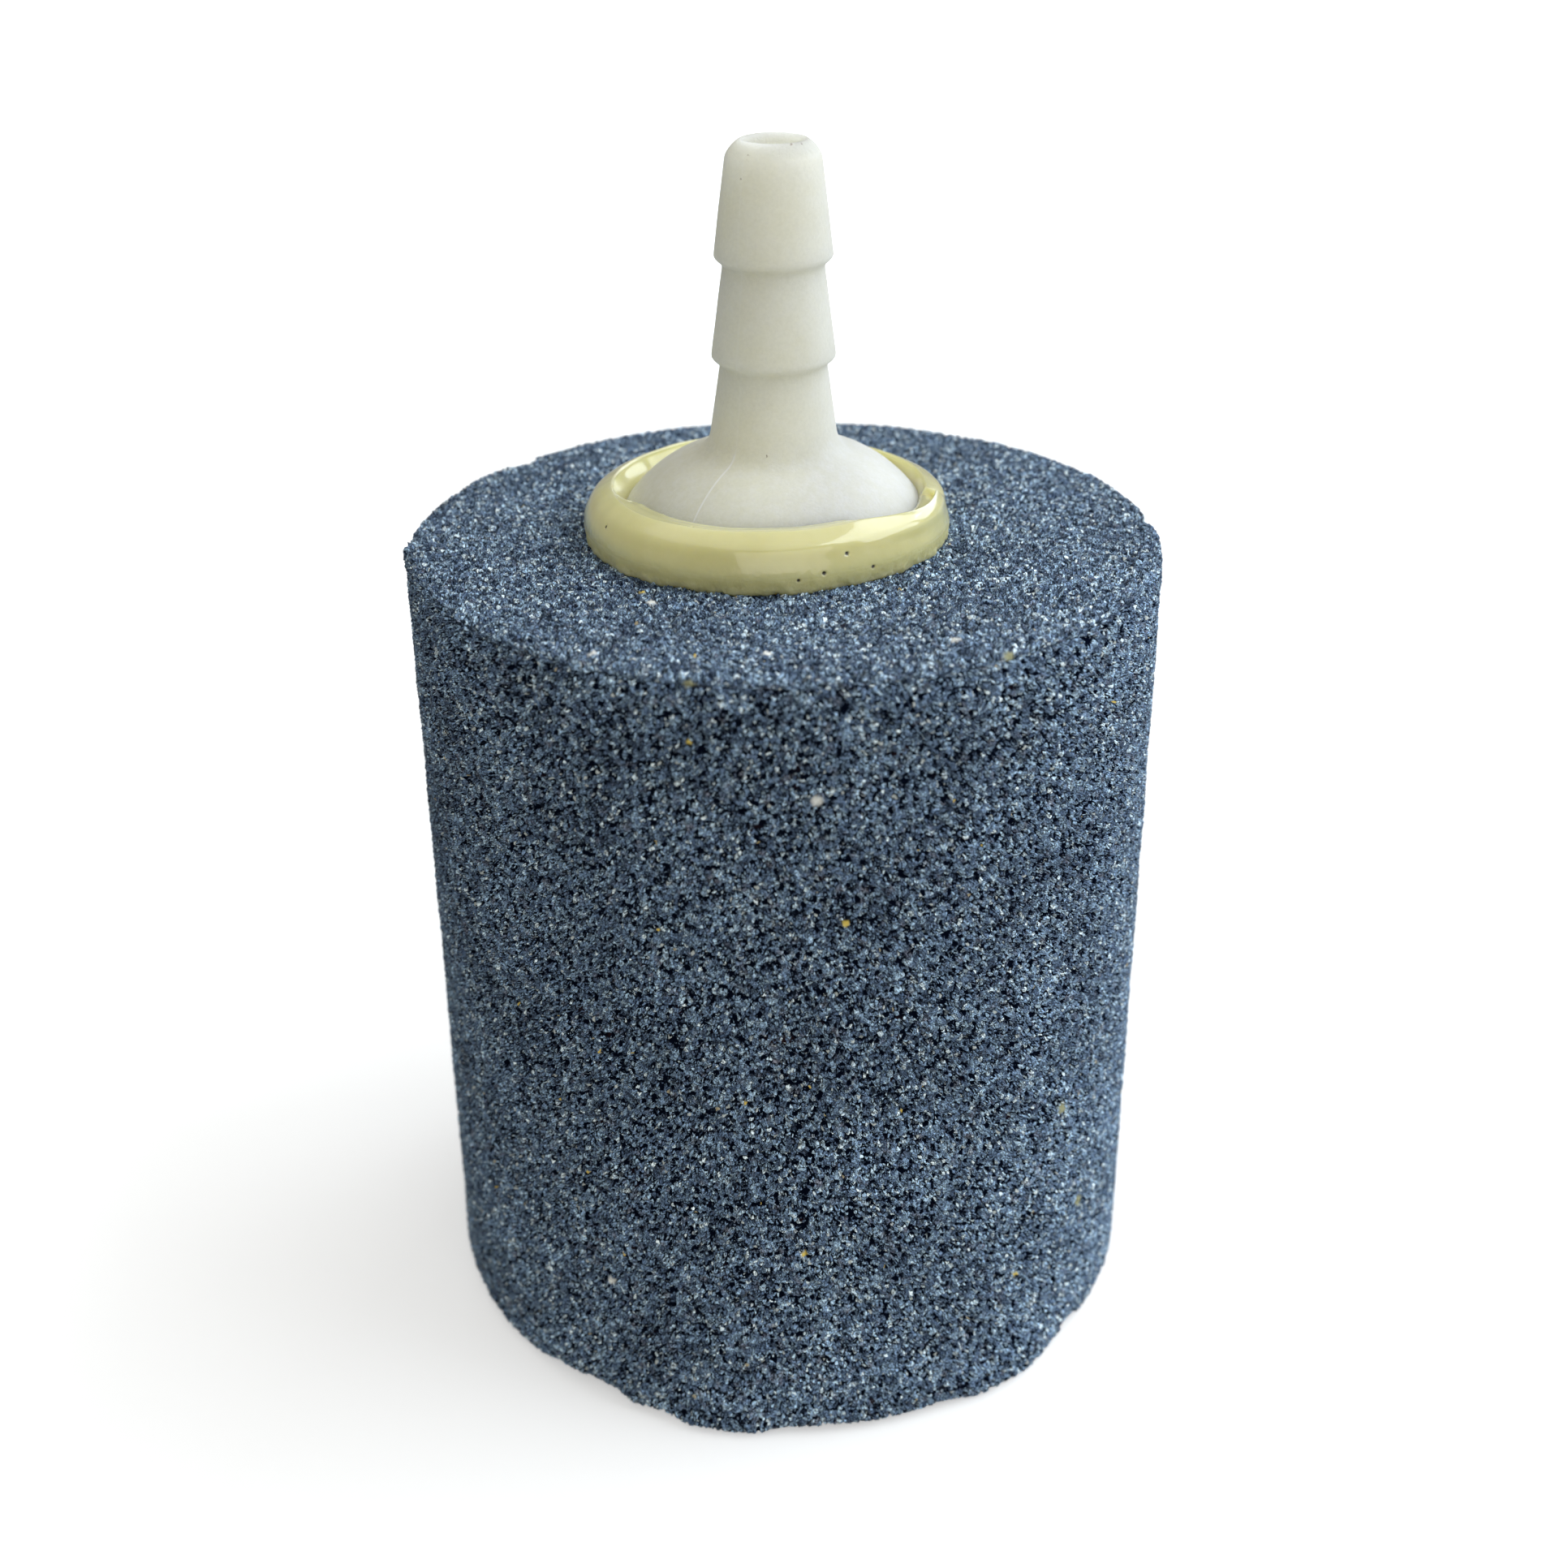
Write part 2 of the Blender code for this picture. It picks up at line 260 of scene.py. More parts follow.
# painted light on the bead's -X side, away from the lights, easing to painted shade from its
# middle to +X
EPOXY_PAINTED_SIDE_LIGHT, EPOXY_PAINTED_LIGHT_REACH = (1.15, 0.92), 12 * MM
EPOXY_SCATTER = 3.0 * MM
EPOXY_SCATTER_TINT = (1.0, 0.9, 0.5)
SLEEVE_TONES = (0.42, 0.37, 0.18), (0.56, 0.51, 0.28)
SLEEVE_CLOUD_SIZE, SLEEVE_RISE = 1.5 * MM, 0.1 * MM
NOISE_GAIN = 1.6                # brings plain noise to about -1 to 1

# ---- Studio ----
STAGE_OUTLINE = [(0.25, 0.0), (0.9, 0.0), (1.15, 0.03), (1.35, 0.15), (1.5, 0.4), (1.55, 0.8),
                 (1.55, 1.6)]
STAGE_COLUMNS = 96
STAGE_DROP = 0.3 * MM           # the floor is this far below the stone's smooth foot
PAPER_BOUNCE = (0.50, 0.50, 0.49)
PAPER_SEEN = (0.80, 0.80, 0.80)
GLOW_REACH = (0.10, 0.60)       # distances between which the paper's glow rises
GLOWS = (0.44, 1.0)
SKY_COLOUR = (1.0, 0.985, 0.95)
SKY_STRENGTH = 0.80
DAYLIGHT = (0.87, 0.94, 1.0)
WARM_WHITE = (1.0, 0.97, 0.88)
LIGHTS = [                      # name, azimuth, elevation, distance, width, height, watts, colour
    ("window", 6, 50, 0.60, 0.74, 0.36, 2.1, DAYLIGHT),
    ("low_window", 50, 22, 0.60, 0.44, 0.24, 0.9, DAYLIGHT),
    ("side_window", -4, 18, 0.60, 0.50, 0.32, 1.3, DAYLIGHT),
    ("front_fill", -80, 14, 0.70, 0.80, 0.50, 1.25, WARM_WHITE),
]
CAMERA_PLACE = (-0.0070 * STONE_RADIUS, -5.336 * STONE_RADIUS, 4.177 * STONE_RADIUS)
CAMERA_DIP = 26.82              # degrees below the horizon
CAMERA_ROLL = -0.54
SENSOR_MM, LENS_MM = 36, 48.45
APERTURE = 29
FOCUS_HEIGHT = STONE_TOP + 0.65 * CONNECTOR_HEIGHT


# ---- Objects and meshes ----
def add_object(name, data):
    """A new object, put in the scene."""
    thing = bpy.data.objects.new(name, data)
    bpy.context.scene.collection.objects.link(thing)
    return thing


def mesh_piece(name, points, quads, corner_uvs, material):
    """Make a smooth mesh object from arrays, with the UV map that an export bakes into."""
    mesh = bpy.data.meshes.new(name)
    mesh.vertices.add(len(points))
    mesh.vertices.foreach_set("co", np.asarray(points, dtype=np.float32).ravel())
    mesh.loops.add(len(quads) * 4)
    mesh.loops.foreach_set("vertex_index", np.asarray(quads, dtype=np.int32).ravel())
    mesh.polygons.add(len(quads))
    mesh.polygons.foreach_set("loop_start", np.arange(0, len(quads) * 4, 4, dtype=np.int32))
    layer = mesh.uv_layers.new(name="OFBake")
    layer.uv.foreach_set("vector", np.asarray(corner_uvs, dtype=np.float32).ravel())
    mesh.update(calc_edges=True)
    mesh.validate()
    mesh.shade_smooth()
    mesh.materials.append(material)
    return add_object(name, mesh)


def place_piece(piece, node):
    """Tie a piece to the frame's root body, and hide the CAD node it stands for."""
    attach(piece, "root")
    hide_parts(node)


def join_loops(first, second):
    """Quads between two closed rows of vertex numbers of the same length."""
    return np.stack([first, second, np.roll(second, -1), np.roll(first, -1)], axis=1)


def join_rows(rows):
    """Quads between each closed row of vertex numbers and the next."""
    return np.concatenate([join_loops(a, b) for a, b in zip(rows[:-1], rows[1:])])


def round_angles(count):
    """Angles spaced evenly round a circle, from -pi."""
    return -pi + 2 * pi * np.arange(count) / count


def turned_rows(outline, angles):
    """Points of each outline row turned about Z, as (row, angle, xyz)."""
    radius = outline[:, 0][:, None]
    height = np.broadcast_to(outline[:, 1][:, None], (len(outline), len(angles)))
    return np.stack([radius * np.cos(angles), radius * np.sin(angles), height], axis=-1)


def around(azimuth, radius, height, centre_x=0.0):
    """A point at an azimuth in degrees about a vertical axis."""
    angle = radians(azimuth)
    return Vector((centre_x + radius * cos(angle), radius * sin(angle), height))


# ---- Stone shape ----
class Disc:
    """A round face meshed as square rings of cells, so that cells stay even to the middle.

    The face may have a round hole, given as its radius and the number of the ring round it.
    Its vertices are numbered from start, and its quads face up or down.
    """

    def __init__(self, outer, inner, hole, cells, height, up, start):
        rings = np.arange(-cells, cells + 1)
        column, row = np.meshgrid(rings, rings, indexing="ij")
        ring = np.maximum(np.abs(column), np.abs(row))
        keep = ring >= hole
        if hole:
            radius = inner + (outer - inner) * (ring - hole) / (cells - hole)
        else:
            radius = outer * ring / cells
        angle = square_angle(column, row)
        self.points = np.stack([radius * np.cos(angle), radius * np.sin(angle),
                                np.full(ring.shape, height)], axis=-1)[keep]
        number = np.full(ring.shape, -1)
        number[keep] = start + np.arange(keep.sum())
        corners = self.cell_corners(number)
        whole = self.cell_corners(ring).max(axis=1) > hole
        self.quads = corners[whole]
        if not up:
            self.quads = self.quads[:, ::-1]
        self.rim = self.ring_of(number, ring, angle, cells)
        self.hole = self.ring_of(number, ring, angle, hole) if hole else None

    @staticmethod
    def cell_corners(grid):
        """The values of a grid at the four corners of each of its cells."""
        return np.stack([grid[:-1, :-1], grid[1:, :-1], grid[1:, 1:], grid[:-1, 1:]],
                        axis=-1).reshape(-1, 4)

    @staticmethod
    def ring_of(number, ring, angle, wanted):
        """Vertex numbers of one square ring, anticlockwise from the angle -pi."""
        chosen = ring == wanted
        order = np.argsort(angle[chosen])
        return number[chosen][order]


def square_angle(column, row):
    """Angle of each cell corner when square rings are bent into even circles."""
    column = column.astype(float)
    row = row.astype(float)
    wide = np.abs(column) >= np.abs(row)
    safe_column = np.where(column == 0, 1, column)
    safe_row = np.where(row == 0, 1, row)
    east = pi / 4 * row / safe_column
    north = pi / 2 - pi / 4 * column / safe_row
    angle = np.where(wide, east + np.where(column < 0, pi, 0),
                     north + np.where(row < 0, pi, 0))
    return (angle + pi) % (2 * pi) - pi


def arc(centre, radius, start, end):
    """Points (radius, height) on a rounded edge, both ends included."""
    angles = np.linspace(start, end, EDGE_STEPS + 1)
    return [(centre[0] + radius * cos(a), centre[1] + radius * sin(a)) for a in angles]


def points_along(outline, steps, wanted):
    """Points of an outline at wanted distances, where steps are the lengths of its parts."""
    along = np.concatenate([[0], np.cumsum(steps)])
    return np.stack([np.interp(wanted, along, outline[:, 0]),
                     np.interp(wanted, along, outline[:, 1])], axis=1)


def resampled(outline, spacing):
    """Points spaced evenly along an outline, its two ends kept."""
    outline = np.array(outline)
    steps = np.hypot(*np.diff(outline, axis=0).T)
    count = int(round(steps.sum() / spacing)) + 1
    return points_along(outline, steps, np.linspace(0, steps.sum(), count))


def stone_base():
    """Points of the smooth stone with its chamber, and the quads of each of its patches."""
    columns = 8 * RIM_CELLS
    hole_cells = int(round(RIM_CELLS * CHAMBER_RADIUS / STONE_RADIUS))
    hole_columns = 8 * hole_cells
    spacing = 2 * pi * STONE_RADIUS / columns
    top_radius = STONE_RADIUS - TOP_EDGE
    foot_radius = STONE_RADIUS - BOTTOM_EDGE
    top = Disc(top_radius, CHAMBER_RADIUS, hole_cells, RIM_CELLS, STONE_TOP, True, 0)
    bottom = Disc(foot_radius, 0, 0, RIM_CELLS, 0, False, len(top.points))
    side = resampled(
        arc((top_radius, STONE_TOP - TOP_EDGE), TOP_EDGE, pi / 2, 0)
        + arc((foot_radius, BOTTOM_EDGE), BOTTOM_EDGE, 0, -pi / 2),
        spacing)[1:-1]
    wall = resampled([(CHAMBER_RADIUS, STONE_TOP), (CHAMBER_RADIUS, CHAMBER_FLOOR)],
                     WALL_COARSENESS * spacing)[1:-1]
    start = len(top.points) + len(bottom.points)
    side_numbers = start + np.arange(len(side) * columns).reshape(len(side), columns)
    start += side_numbers.size
    wall_numbers = start + np.arange(len(wall) * hole_columns).reshape(len(wall), hole_columns)
    start += wall_numbers.size
    floor = Disc(CHAMBER_RADIUS, 0, 0, hole_cells, CHAMBER_FLOOR, True, start)
    points = np.concatenate([top.points, bottom.points,
                             turned_rows(side, round_angles(columns)).reshape(-1, 3),
                             turned_rows(wall, round_angles(hole_columns)).reshape(-1, 3),
                             floor.points])
    return points, {
        "top": top.quads,
        "bottom": bottom.quads,
        "floor": floor.quads,
        "side": join_rows([top.rim, *side_numbers, bottom.rim]),
        "wall": join_rows([top.hole, *wall_numbers, floor.rim])[:, ::-1],
    }


def unrolled_angles(corner):
    """The angle of each quad's middle about Z, and of its corners without a jump inside it."""
    middle = np.arctan2(corner[..., 1].mean(axis=1), corner[..., 0].mean(axis=1))[:, None]
    angle = np.arctan2(corner[..., 1], corner[..., 0])
    return middle, middle + (angle - middle + pi) % (2 * pi) - pi


def side_uvs(corner):
    """The stone's side unrolled in two halves, one above the other."""
    middle, angle = unrolled_angles(corner)
    second = middle > 0
    inset = STONE_RADIUS - np.hypot(corner[..., 0], corner[..., 1])
    level = corner[..., 2] + np.where(corner[..., 2] > STONE_TOP / 2, inset, -inset)
    first_row, second_row = UV_SIDE_ROWS
    return np.stack([STONE_RADIUS * np.where(second, angle, angle + pi),
                     level + np.where(second, second_row, first_row)], axis=-1)


def wall_uvs(corner):
    """The chamber's wall unrolled in one piece."""
    _, angle = unrolled_angles(corner)
    return np.stack([(angle + pi) * CHAMBER_RADIUS, corner[..., 2] - CHAMBER_FLOOR], axis=-1)


def patch_uvs(patch, corner):
    """A patch of the stone laid flat in its own place, at full scale but for the chamber."""
    if patch == "side":
        return side_uvs(corner)
    right, up, scale = UV_PATCHES[patch]
    flat = wall_uvs(corner) if patch == "wall" else corner[..., :2]
    return flat * scale + (pi * STONE_RADIUS + right, up)


# ---- Node graphs, for materials and for relief ----
class Graph:
    """Short ways to add nodes to a material's tree or to a relief modifier's tree."""

    def __init__(self, tree):
        self.tree = tree

    def node(self, kind, **settings):
        """A node with some of its settings given."""
        node = self.tree.nodes.new(kind)
        for name, value in settings.items():
            setattr(node, name, value)
        return node

    def feed(self, socket, value):
        """Link a socket to an input, or set the input to a plain value."""
        if isinstance(value, bpy.types.NodeSocket):
            self.tree.links.new(value, socket)
        elif socket.type == "RGBA":
            socket.default_value = (*value, 1)
        else:
            socket.default_value = value

    def feed_all(self, sockets, values):
        """Feed several sockets in a row."""
        for socket, value in zip(sockets, values):
            self.feed(socket, value)

    def feed_named(self, node, values):
        """Feed a node's inputs from a table of input name and value."""
        for name, value in values.items():
            self.feed(node.inputs[name], value)

    def math(self, operation, *values):
        """The result of a math node."""
        node = self.node("ShaderNodeMath", operation=operation)
        self.feed_all(node.inputs, values)
        return node.outputs[0]

    def chain(self, operation, values):
        """One number from several, by the same operation on each in turn."""
        total = values[0]
        for value in values[1:]:
            total = self.math(operation, total, value)
        return total

    def add(self, *values):
        """The sum of several numbers."""
        return self.chain("ADD", values)

    def times(self, *values):
        """The product of several numbers."""
        return self.chain("MULTIPLY", values)

    def most(self, values):
        """The largest of several numbers."""
        return self.chain("MAXIMUM", values)

    def hypot(self, first, second):
        """The length of the longest side of a right triangle with these short sides."""
        return self.math("SQRT", self.add(self.times(first, first), self.times(second, second)))

    def vector(self, operation, *values):
        """A vector math node, with a vector or a number as its result."""
        node = self.node("ShaderNodeVectorMath", operation=operation)
        self.feed_all(node.inputs, values)
        numeric = operation in ("LENGTH", "DISTANCE", "DOT_PRODUCT")
        return node.outputs["Value" if numeric else "Vector"]

    def scaled(self, vector, amount):
        """A vector times a number."""
        node = self.node("ShaderNodeVectorMath", operation="SCALE")
        self.feed_named(node, {"Vector": vector, "Scale": amount})
        return node.outputs[0]

    def split(self, vector):
        """The three parts of a vector or a colour."""
        node = self.node("ShaderNodeSeparateXYZ")
        self.feed(node.inputs[0], vector)
        return node.outputs

    def noise_node(self, place, size, detail=2.0, roughness=0.5):
        """A noise texture whose largest features have a given size."""
        node = self.node("ShaderNodeTexNoise")
        self.feed_named(node, {"Vector": place, "Scale": 1 / size, "Detail": detail,
                               "Roughness": roughness})
        return node

    def noise(self, place, size, detail=2.0, roughness=0.5):
        """Noise from about -1 to 1, with features of a given size."""
        fac = self.noise_node(place, size, detail, roughness).outputs["Fac"]
        return self.math("MULTIPLY_ADD", fac, 4.0, -2.0)

    def bent(self, place, size, amount):
        """The place pushed about by soft noise, so that patterns laid on it aren't regular."""
        colour = self.noise_node(place, size).outputs["Color"]
        push = self.scaled(self.vector("SUBTRACT", colour, (0.5, 0.5, 0.5)), amount)
        return self.vector("ADD", place, push)

    def cells(self, place, size, feature="F1"):
        """Outputs of a pattern of irregular cells of a given size."""
        node = self.node("ShaderNodeTexVoronoi", feature=feature)
        self.feed_named(node, {"Vector": place, "Scale": 1 / size})
        return node.outputs

    def ranged(self, value, low, high, to_low=0.0, to_high=1.0):
        """Ease a value from low..high to to_low..to_high, held at both ends."""
        node = self.node("ShaderNodeMapRange", interpolation_type="SMOOTHSTEP")
        self.feed_all(node.inputs, (value, low, high, to_low, to_high))
        return node.outputs[0]

    def between(self, share, low, high):
        """Ease from low to high as a share goes from 0 to 1."""
        return self.ranged(share, 0.0, 1.0, low, high)

    def varied(self, pattern, low=0.0, high=1.0, span=1.0):
        """Ease from low to high as a noise goes from -span to span."""
        return self.ranged(pattern, -span, span, low, high)

    def mix(self, amount, first, second, blend="MIX"):
        """The first colour with an amount of the second in it."""
        node = self.node("ShaderNodeMix", data_type="RGBA", blend_type=blend)
        self.feed_all((node.inputs[0], node.inputs[6], node.inputs[7]), (amount, first, second))
        return node.outputs[2]

    def shade(self, colour, amount):
        """Multiply a colour by a number."""
        return self.mix(1.0, colour, amount, "MULTIPLY")

    def ramp(self, value, stops):
        """A colour ramp through stops of (place, colour)."""
        node = self.node("ShaderNodeValToRGB")
        self.feed(node.inputs[0], value)
        elements = node.color_ramp.elements
        while len(elements) < len(stops):
            elements.new(1.0)
        for element, (place, colour) in zip(elements, stops):
            element.position = place
            element.color = (*colour, 1)
        return node.outputs[0]

    def spot(self, place, centre, radius, softness=0.5):
        """1 within a radius of a point, easing to 0 outside it."""
        gap = self.vector("DISTANCE", place, tuple(centre))
        return self.ranged(gap, radius * (1 - softness), radius * (1 + softness), 1.0, 0.0)

    def above_stone(self, place):
        """How high a place is above the stone's top."""
        return self.math("SUBTRACT", self.split(place)[2], STONE_TOP)


def blemishes(graph, place, table, centre_x, softness):
    """1 in each small blemish of a table such as BEAD_PITS, and 0 elsewhere."""
    return graph.most([
        graph.spot(place, around(azimuth, radius * MM, STONE_TOP + height * MM, centre_x),
                   size * MM, softness)
        for azimuth, radius, height, size in table])


def add_relief(piece, height_of):
    """Push a piece's surface along its normals, and keep each point's first place."""
    tree = bpy.data.node_groups.new(piece.name + "_relief", "GeometryNodeTree")
    tree.interface.new_socket("Geometry", in_out="INPUT", socket_type="NodeSocketGeometry")
    tree.interface.new_socket("Geometry", in_out="OUTPUT", socket_type="NodeSocketGeometry")
    graph = Graph(tree)
    source = graph.node("NodeGroupInput")
    result = graph.node("NodeGroupOutput")
    place = graph.node("GeometryNodeInputPosition").outputs[0]
    normal = graph.node("GeometryNodeInputNormal").outputs[0]
    store = graph.node("GeometryNodeStoreNamedAttribute", data_type="FLOAT_VECTOR",
                       domain="POINT")
    graph.feed_named(store, {"Geometry": source.outputs[0], "Name": "rest_place", "Value": place})
    move = graph.node("GeometryNodeSetPosition")
    graph.feed_named(move, {"Geometry": store.outputs[0],
                            "Offset": graph.scaled(normal, height_of(graph, place))})
    graph.feed(result.inputs[0], move.outputs[0])
    modifier = piece.modifiers.new("relief", "NODES")
    modifier.node_group = tree
    shape = bpy.data.meshes.new_from_object(
        piece.evaluated_get(bpy.context.evaluated_depsgraph_get()))
    piece.modifiers.clear()
    piece.data = shape


def new_material(name):
    """A node material, returned with its graph, its shader and the piece's rest place."""
    material = bpy.data.materials.new(name)
    material.use_nodes = True
    graph = Graph(material.node_tree)
    rest = graph.node("ShaderNodeAttribute", attribute_name="rest_place")
    shader = material.node_tree.nodes["Principled BSDF"]
    return material, graph, shader, rest.outputs["Vector"]


def add_bump(graph, shader, height, distance):
    """Fine relief in the material; height runs from about -1 to 1, distance is in metres."""
    bump = graph.node("ShaderNodeBump")
    graph.feed_named(bump, {"Height": height, "Distance": distance})
    graph.feed(shader.inputs["Normal"], bump.outputs[0])


# ---- Stone: relief and material ----
def grain_field(graph, place):
    """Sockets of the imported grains: per-grain randoms, roundness and pores."""
    bent = place
    for size, amount in GRAIN_BENDS:
        bent = graph.bent(bent, size, amount)
    cells = graph.cells(bent, GRAIN)
    edges = graph.cells(bent, GRAIN, "DISTANCE_TO_EDGE")
    lift, gap, tone = graph.split(cells["Color"])
    missing = graph.ranged(gap, PORE_SHARE - PORE_BLEND, PORE_SHARE + PORE_BLEND, 1.0, 0.0)
    crack_width = graph.ranged(graph.noise(place, CRACK_SIZE), *CRACK_AREAS, *CRACK_WIDTHS)
    crack = graph.varied(graph.math("SUBTRACT", edges["Distance"], crack_width),
                         1.0, 0.0, CRACK_BLEND)
    hollow = graph.ranged(graph.noise(place, HOLLOW_SIZE, *GRITTY), *HOLLOW_AREAS, 1.0, 0.0)
    level = graph.split(place)[2]
    packed = graph.ranged(level, STONE_TOP - PACKED_LAYER, STONE_TOP, 1.0, PACKED_PORES)
    return {
        "lift": lift,
        "tone": tone,
        "round": graph.ranged(edges["Distance"], 0.0, ROUND_SHARE),
        "pore": graph.times(graph.most([missing, crack, hollow]), packed),
        "centre": cells["Position"],
    }


def rim_wear(graph, place):
    """Depth worn off the top edge: little all round, more at the front, in uneven bites."""
    across, along, level = graph.split(place)
    inward = graph.math("SUBTRACT", STONE_RADIUS, graph.hypot(across, along))
    below = graph.math("SUBTRACT", STONE_TOP, level)
    near = graph.ranged(graph.hypot(inward, below), WEAR_CORE, WEAR_REACH, 1.0, 0.0)
    front = graph.ranged(along, -0.95 * STONE_RADIUS, -0.35 * STONE_RADIUS,
                         WEAR_FRONT, WEAR_BACK)
    bites = graph.varied(graph.noise(place, BITE_SIZE, 3), *BITES)
    return graph.times(near, front, bites)


def stone_relief(graph, place):
    """Height of the grained surface: grains, pores, a soft waviness and chipped edges."""
    field = grain_field(graph, place)
    height = graph.add(
        graph.times(field["lift"], GRAIN_RISE),
        graph.times(field["round"], GRAIN_RISE),
        graph.times(field["pore"], -PORE_DEPTH),
        graph.times(graph.noise(place, GRIT_SIZE, *GRITTY), GRIT_RISE),
        graph.times(graph.noise(place, WAVE_SIZE), WAVE_RISE),
        -GRAIN_SINK)
    height = graph.add(height, graph.times(rim_wear(graph, place), -1))
    ragged = graph.bent(place, *DENT_BEND)
    for azimuth, level, size, depth in STONE_DENTS:
        centre = around(azimuth, STONE_RADIUS, level * STONE_TOP)
        dent = graph.spot(ragged, centre, size * MM, DENT_SOFTNESS)
        height = graph.math("MULTIPLY_ADD", dent, -depth * MM, height)
    return height


def stone_tones(graph, place, grain, facet, specks):
    """Colour of the whole grains: a tone for each, its facets, specks, clumps and drifts."""
    tone = graph.ramp(grain, GRAIN_TONES)
    browner = graph.ranged(graph.noise(place, BROWN_SIZE, *GRITTY), *BROWN_AREAS, 0.0, 0.7)
    tone = graph.mix(browner, tone, BROWN_TINT)
    tone = graph.shade(tone, graph.between(facet, *FACET_SHADES))
    tone = graph.shade(tone, graph.varied(specks, *SPECK_SHADES, NOISE_SPAN))
    clumps = graph.noise(place, CLUMP_SIZE, 3)
    tone = graph.shade(tone, graph.varied(clumps, *DRIFT_SHADES, NOISE_SPAN))
    drift = graph.noise(place, DRIFT_SIZE, 3)
    tone = graph.shade(tone, graph.varied(drift, *DRIFT_SHADES))
    level = graph.split(place)[2]
    # painted shade on the top face
    tone = graph.shade(tone, graph.ranged(level, STONE_TOP - PACKED_LAYER, STONE_TOP,
                                          1.0, TOP_PAINTED_SHADE))
    return graph.shade(tone, graph.ranged(level, 0.0, FOOT_REACH, FOOT_SHADE, 1.0))


def stone_material():
    """Bonded blue-grey grains with painted shade in their pores, and a few pale and yellow grains.
    """
    material, graph, shader, place = new_material("bonded_grain")
    field = grain_field(graph, place)
    facets = graph.split(graph.cells(place, FACET)["Color"])
    specks = graph.noise(place, SPECK_SIZE, 2, 0.6)
    tone = stone_tones(graph, place, field["tone"], facets[0], specks)
    rust = graph.ranged(graph.noise(place, RUST_SIZE, 3), *RUST_AREAS)
    # painted shade in the pores, cracks and hollows, rusty in places
    tone = graph.mix(field["pore"], tone, graph.mix(rust, PORE_PAINTED_SHADE, PORE_RUSTY_PAINTED_SHADE))
    dots = graph.node("ShaderNodeTexWhiteNoise")
    graph.feed(dots.inputs["Vector"], field["centre"])
    core = graph.ranged(field["round"], 0.25, 0.60)
    for limit, colour in RARE_GRAINS:
        chosen = graph.math("LESS_THAN", dots.outputs["Value"], limit)
        tone = graph.mix(graph.times(chosen, core), tone, colour)
    ragged = graph.bent(place, *LARGE_GRAIN_BEND)
    for azimuth, radius, level, size, colour in LARGE_GRAINS:
        centre = around(azimuth, radius * STONE_RADIUS, level * STONE_TOP)
        tone = graph.mix(graph.spot(ragged, centre, size * MM), tone, colour)
    graph.feed_named(shader, {
        "Base Color": tone,
        "Roughness": graph.between(facets[1], *FACET_ROUGHNESS),
        "Specular IOR Level": graph.between(field["pore"], 0.25, 0.0),
    })
    add_bump(graph, shader, specks, SPECK_RISE)
    return material


def build_stone():
    """The porous block with real grain relief."""
    points, patches = stone_base()
    quads = np.concatenate(list(patches.values()))
    uvs = np.concatenate([patch_uvs(patch, points[part]) for patch, part in patches.items()])
    stone = mesh_piece("stone_block", points, quads, uvs / UV_SHEET, stone_material())
    add_relief(stone, stone_relief)
    place_piece(stone, "stone_body")


# ---- Rings: pieces whose closed section runs round an axis ----
def ring_piece(name, grid, material):
    """A piece from a grid of points: rows run round the section, columns round the axis."""
    rows, columns = grid.shape[:2]
    numbers = np.arange(rows * columns).reshape(rows, columns)
    quads = join_rows([*numbers, numbers[0]])
    column, row = np.meshgrid(np.arange(columns), np.arange(rows))
    corners = [(0, 0), (0, 1), (1, 1), (1, 0)]
    uvs = np.stack([np.stack([(column + right) / columns, 1 - (row + down) / rows], axis=-1)
                    for right, down in corners], axis=2)
    return mesh_piece(name, grid.reshape(-1, 3), quads, uvs, material)


def cad_outline(node, axis_x):
    """Corners (radius, height) of a turned CAD node, from the top of its bore outwards."""
    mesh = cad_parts[node].data
    places = {}
    for vertex in mesh.vertices:
        x, y, z = vertex.co
        if abs(y) < SAME_PLACE and x > axis_x:
            places[vertex.index] = (round(x - axis_x, 6), round(z, 6))
    links = {}
    for edge in mesh.edges:
        first, second = (places.get(index) for index in edge.vertices)
        if first and second and first != second:
            links.setdefault(first, set()).add(second)
            links.setdefault(second, set()).add(first)
    top = max(height for _, height in links)
    start = min(corner for corner in links if corner[1] == top)
    outline = [start]
    step = max(links[start])
    while step != start:
        outline.append(step)
        step = next(corner for corner in links[step] if corner != outline[-2])
    return outline


def eased(corners, rounding):
    """A closed outline with each corner cut to a soft curve."""
    outline = []
    for index, corner in enumerate(corners):
        corner = np.array(corner)
        before = np.array(corners[index - 1]) - corner
        after = np.array(corners[(index + 1) % len(corners)]) - corner
        start = corner + before * min(0.5, rounding / np.hypot(*before))
        end = corner + after * min(0.5, rounding / np.hypot(*after))
        for t in np.linspace(0, 1, CORNER_STEPS):
            outline.append((1 - t) ** 2 * start + 2 * t * (1 - t) * corner + t * t * end)
    return np.array(outline)


# ---- Hose connector ----
def parting_line(graph, place):
    """1 on the plane where the mould's halves meet, faint above the flange."""
    angle = radians(PARTING_AZIMUTH)
    across = (sin(angle), -cos(angle), 0)
    from_axis = graph.vector("SUBTRACT", place, (CONNECTOR_X, 0, 0))
    gap = graph.math("ABSOLUTE", graph.vector("DOT_PRODUCT", from_axis, across))
    line = graph.ranged(gap, 0.0, PARTING_WIDTH, 1.0, 0.0)
    low = graph.ranged(graph.above_stone(place), *PARTING_LEVELS, 1.0, 0.12)
    return graph.times(line, low)


def connector_relief(graph, place):
    """A moulded surface: slight waves and the parting line that the mould leaves."""
    return graph.add(graph.times(graph.noise(place, MOULD_WAVE_SIZE), MOULD_WAVE_RISE),
                     graph.times(parting_line(graph, place), PARTING_RISE))


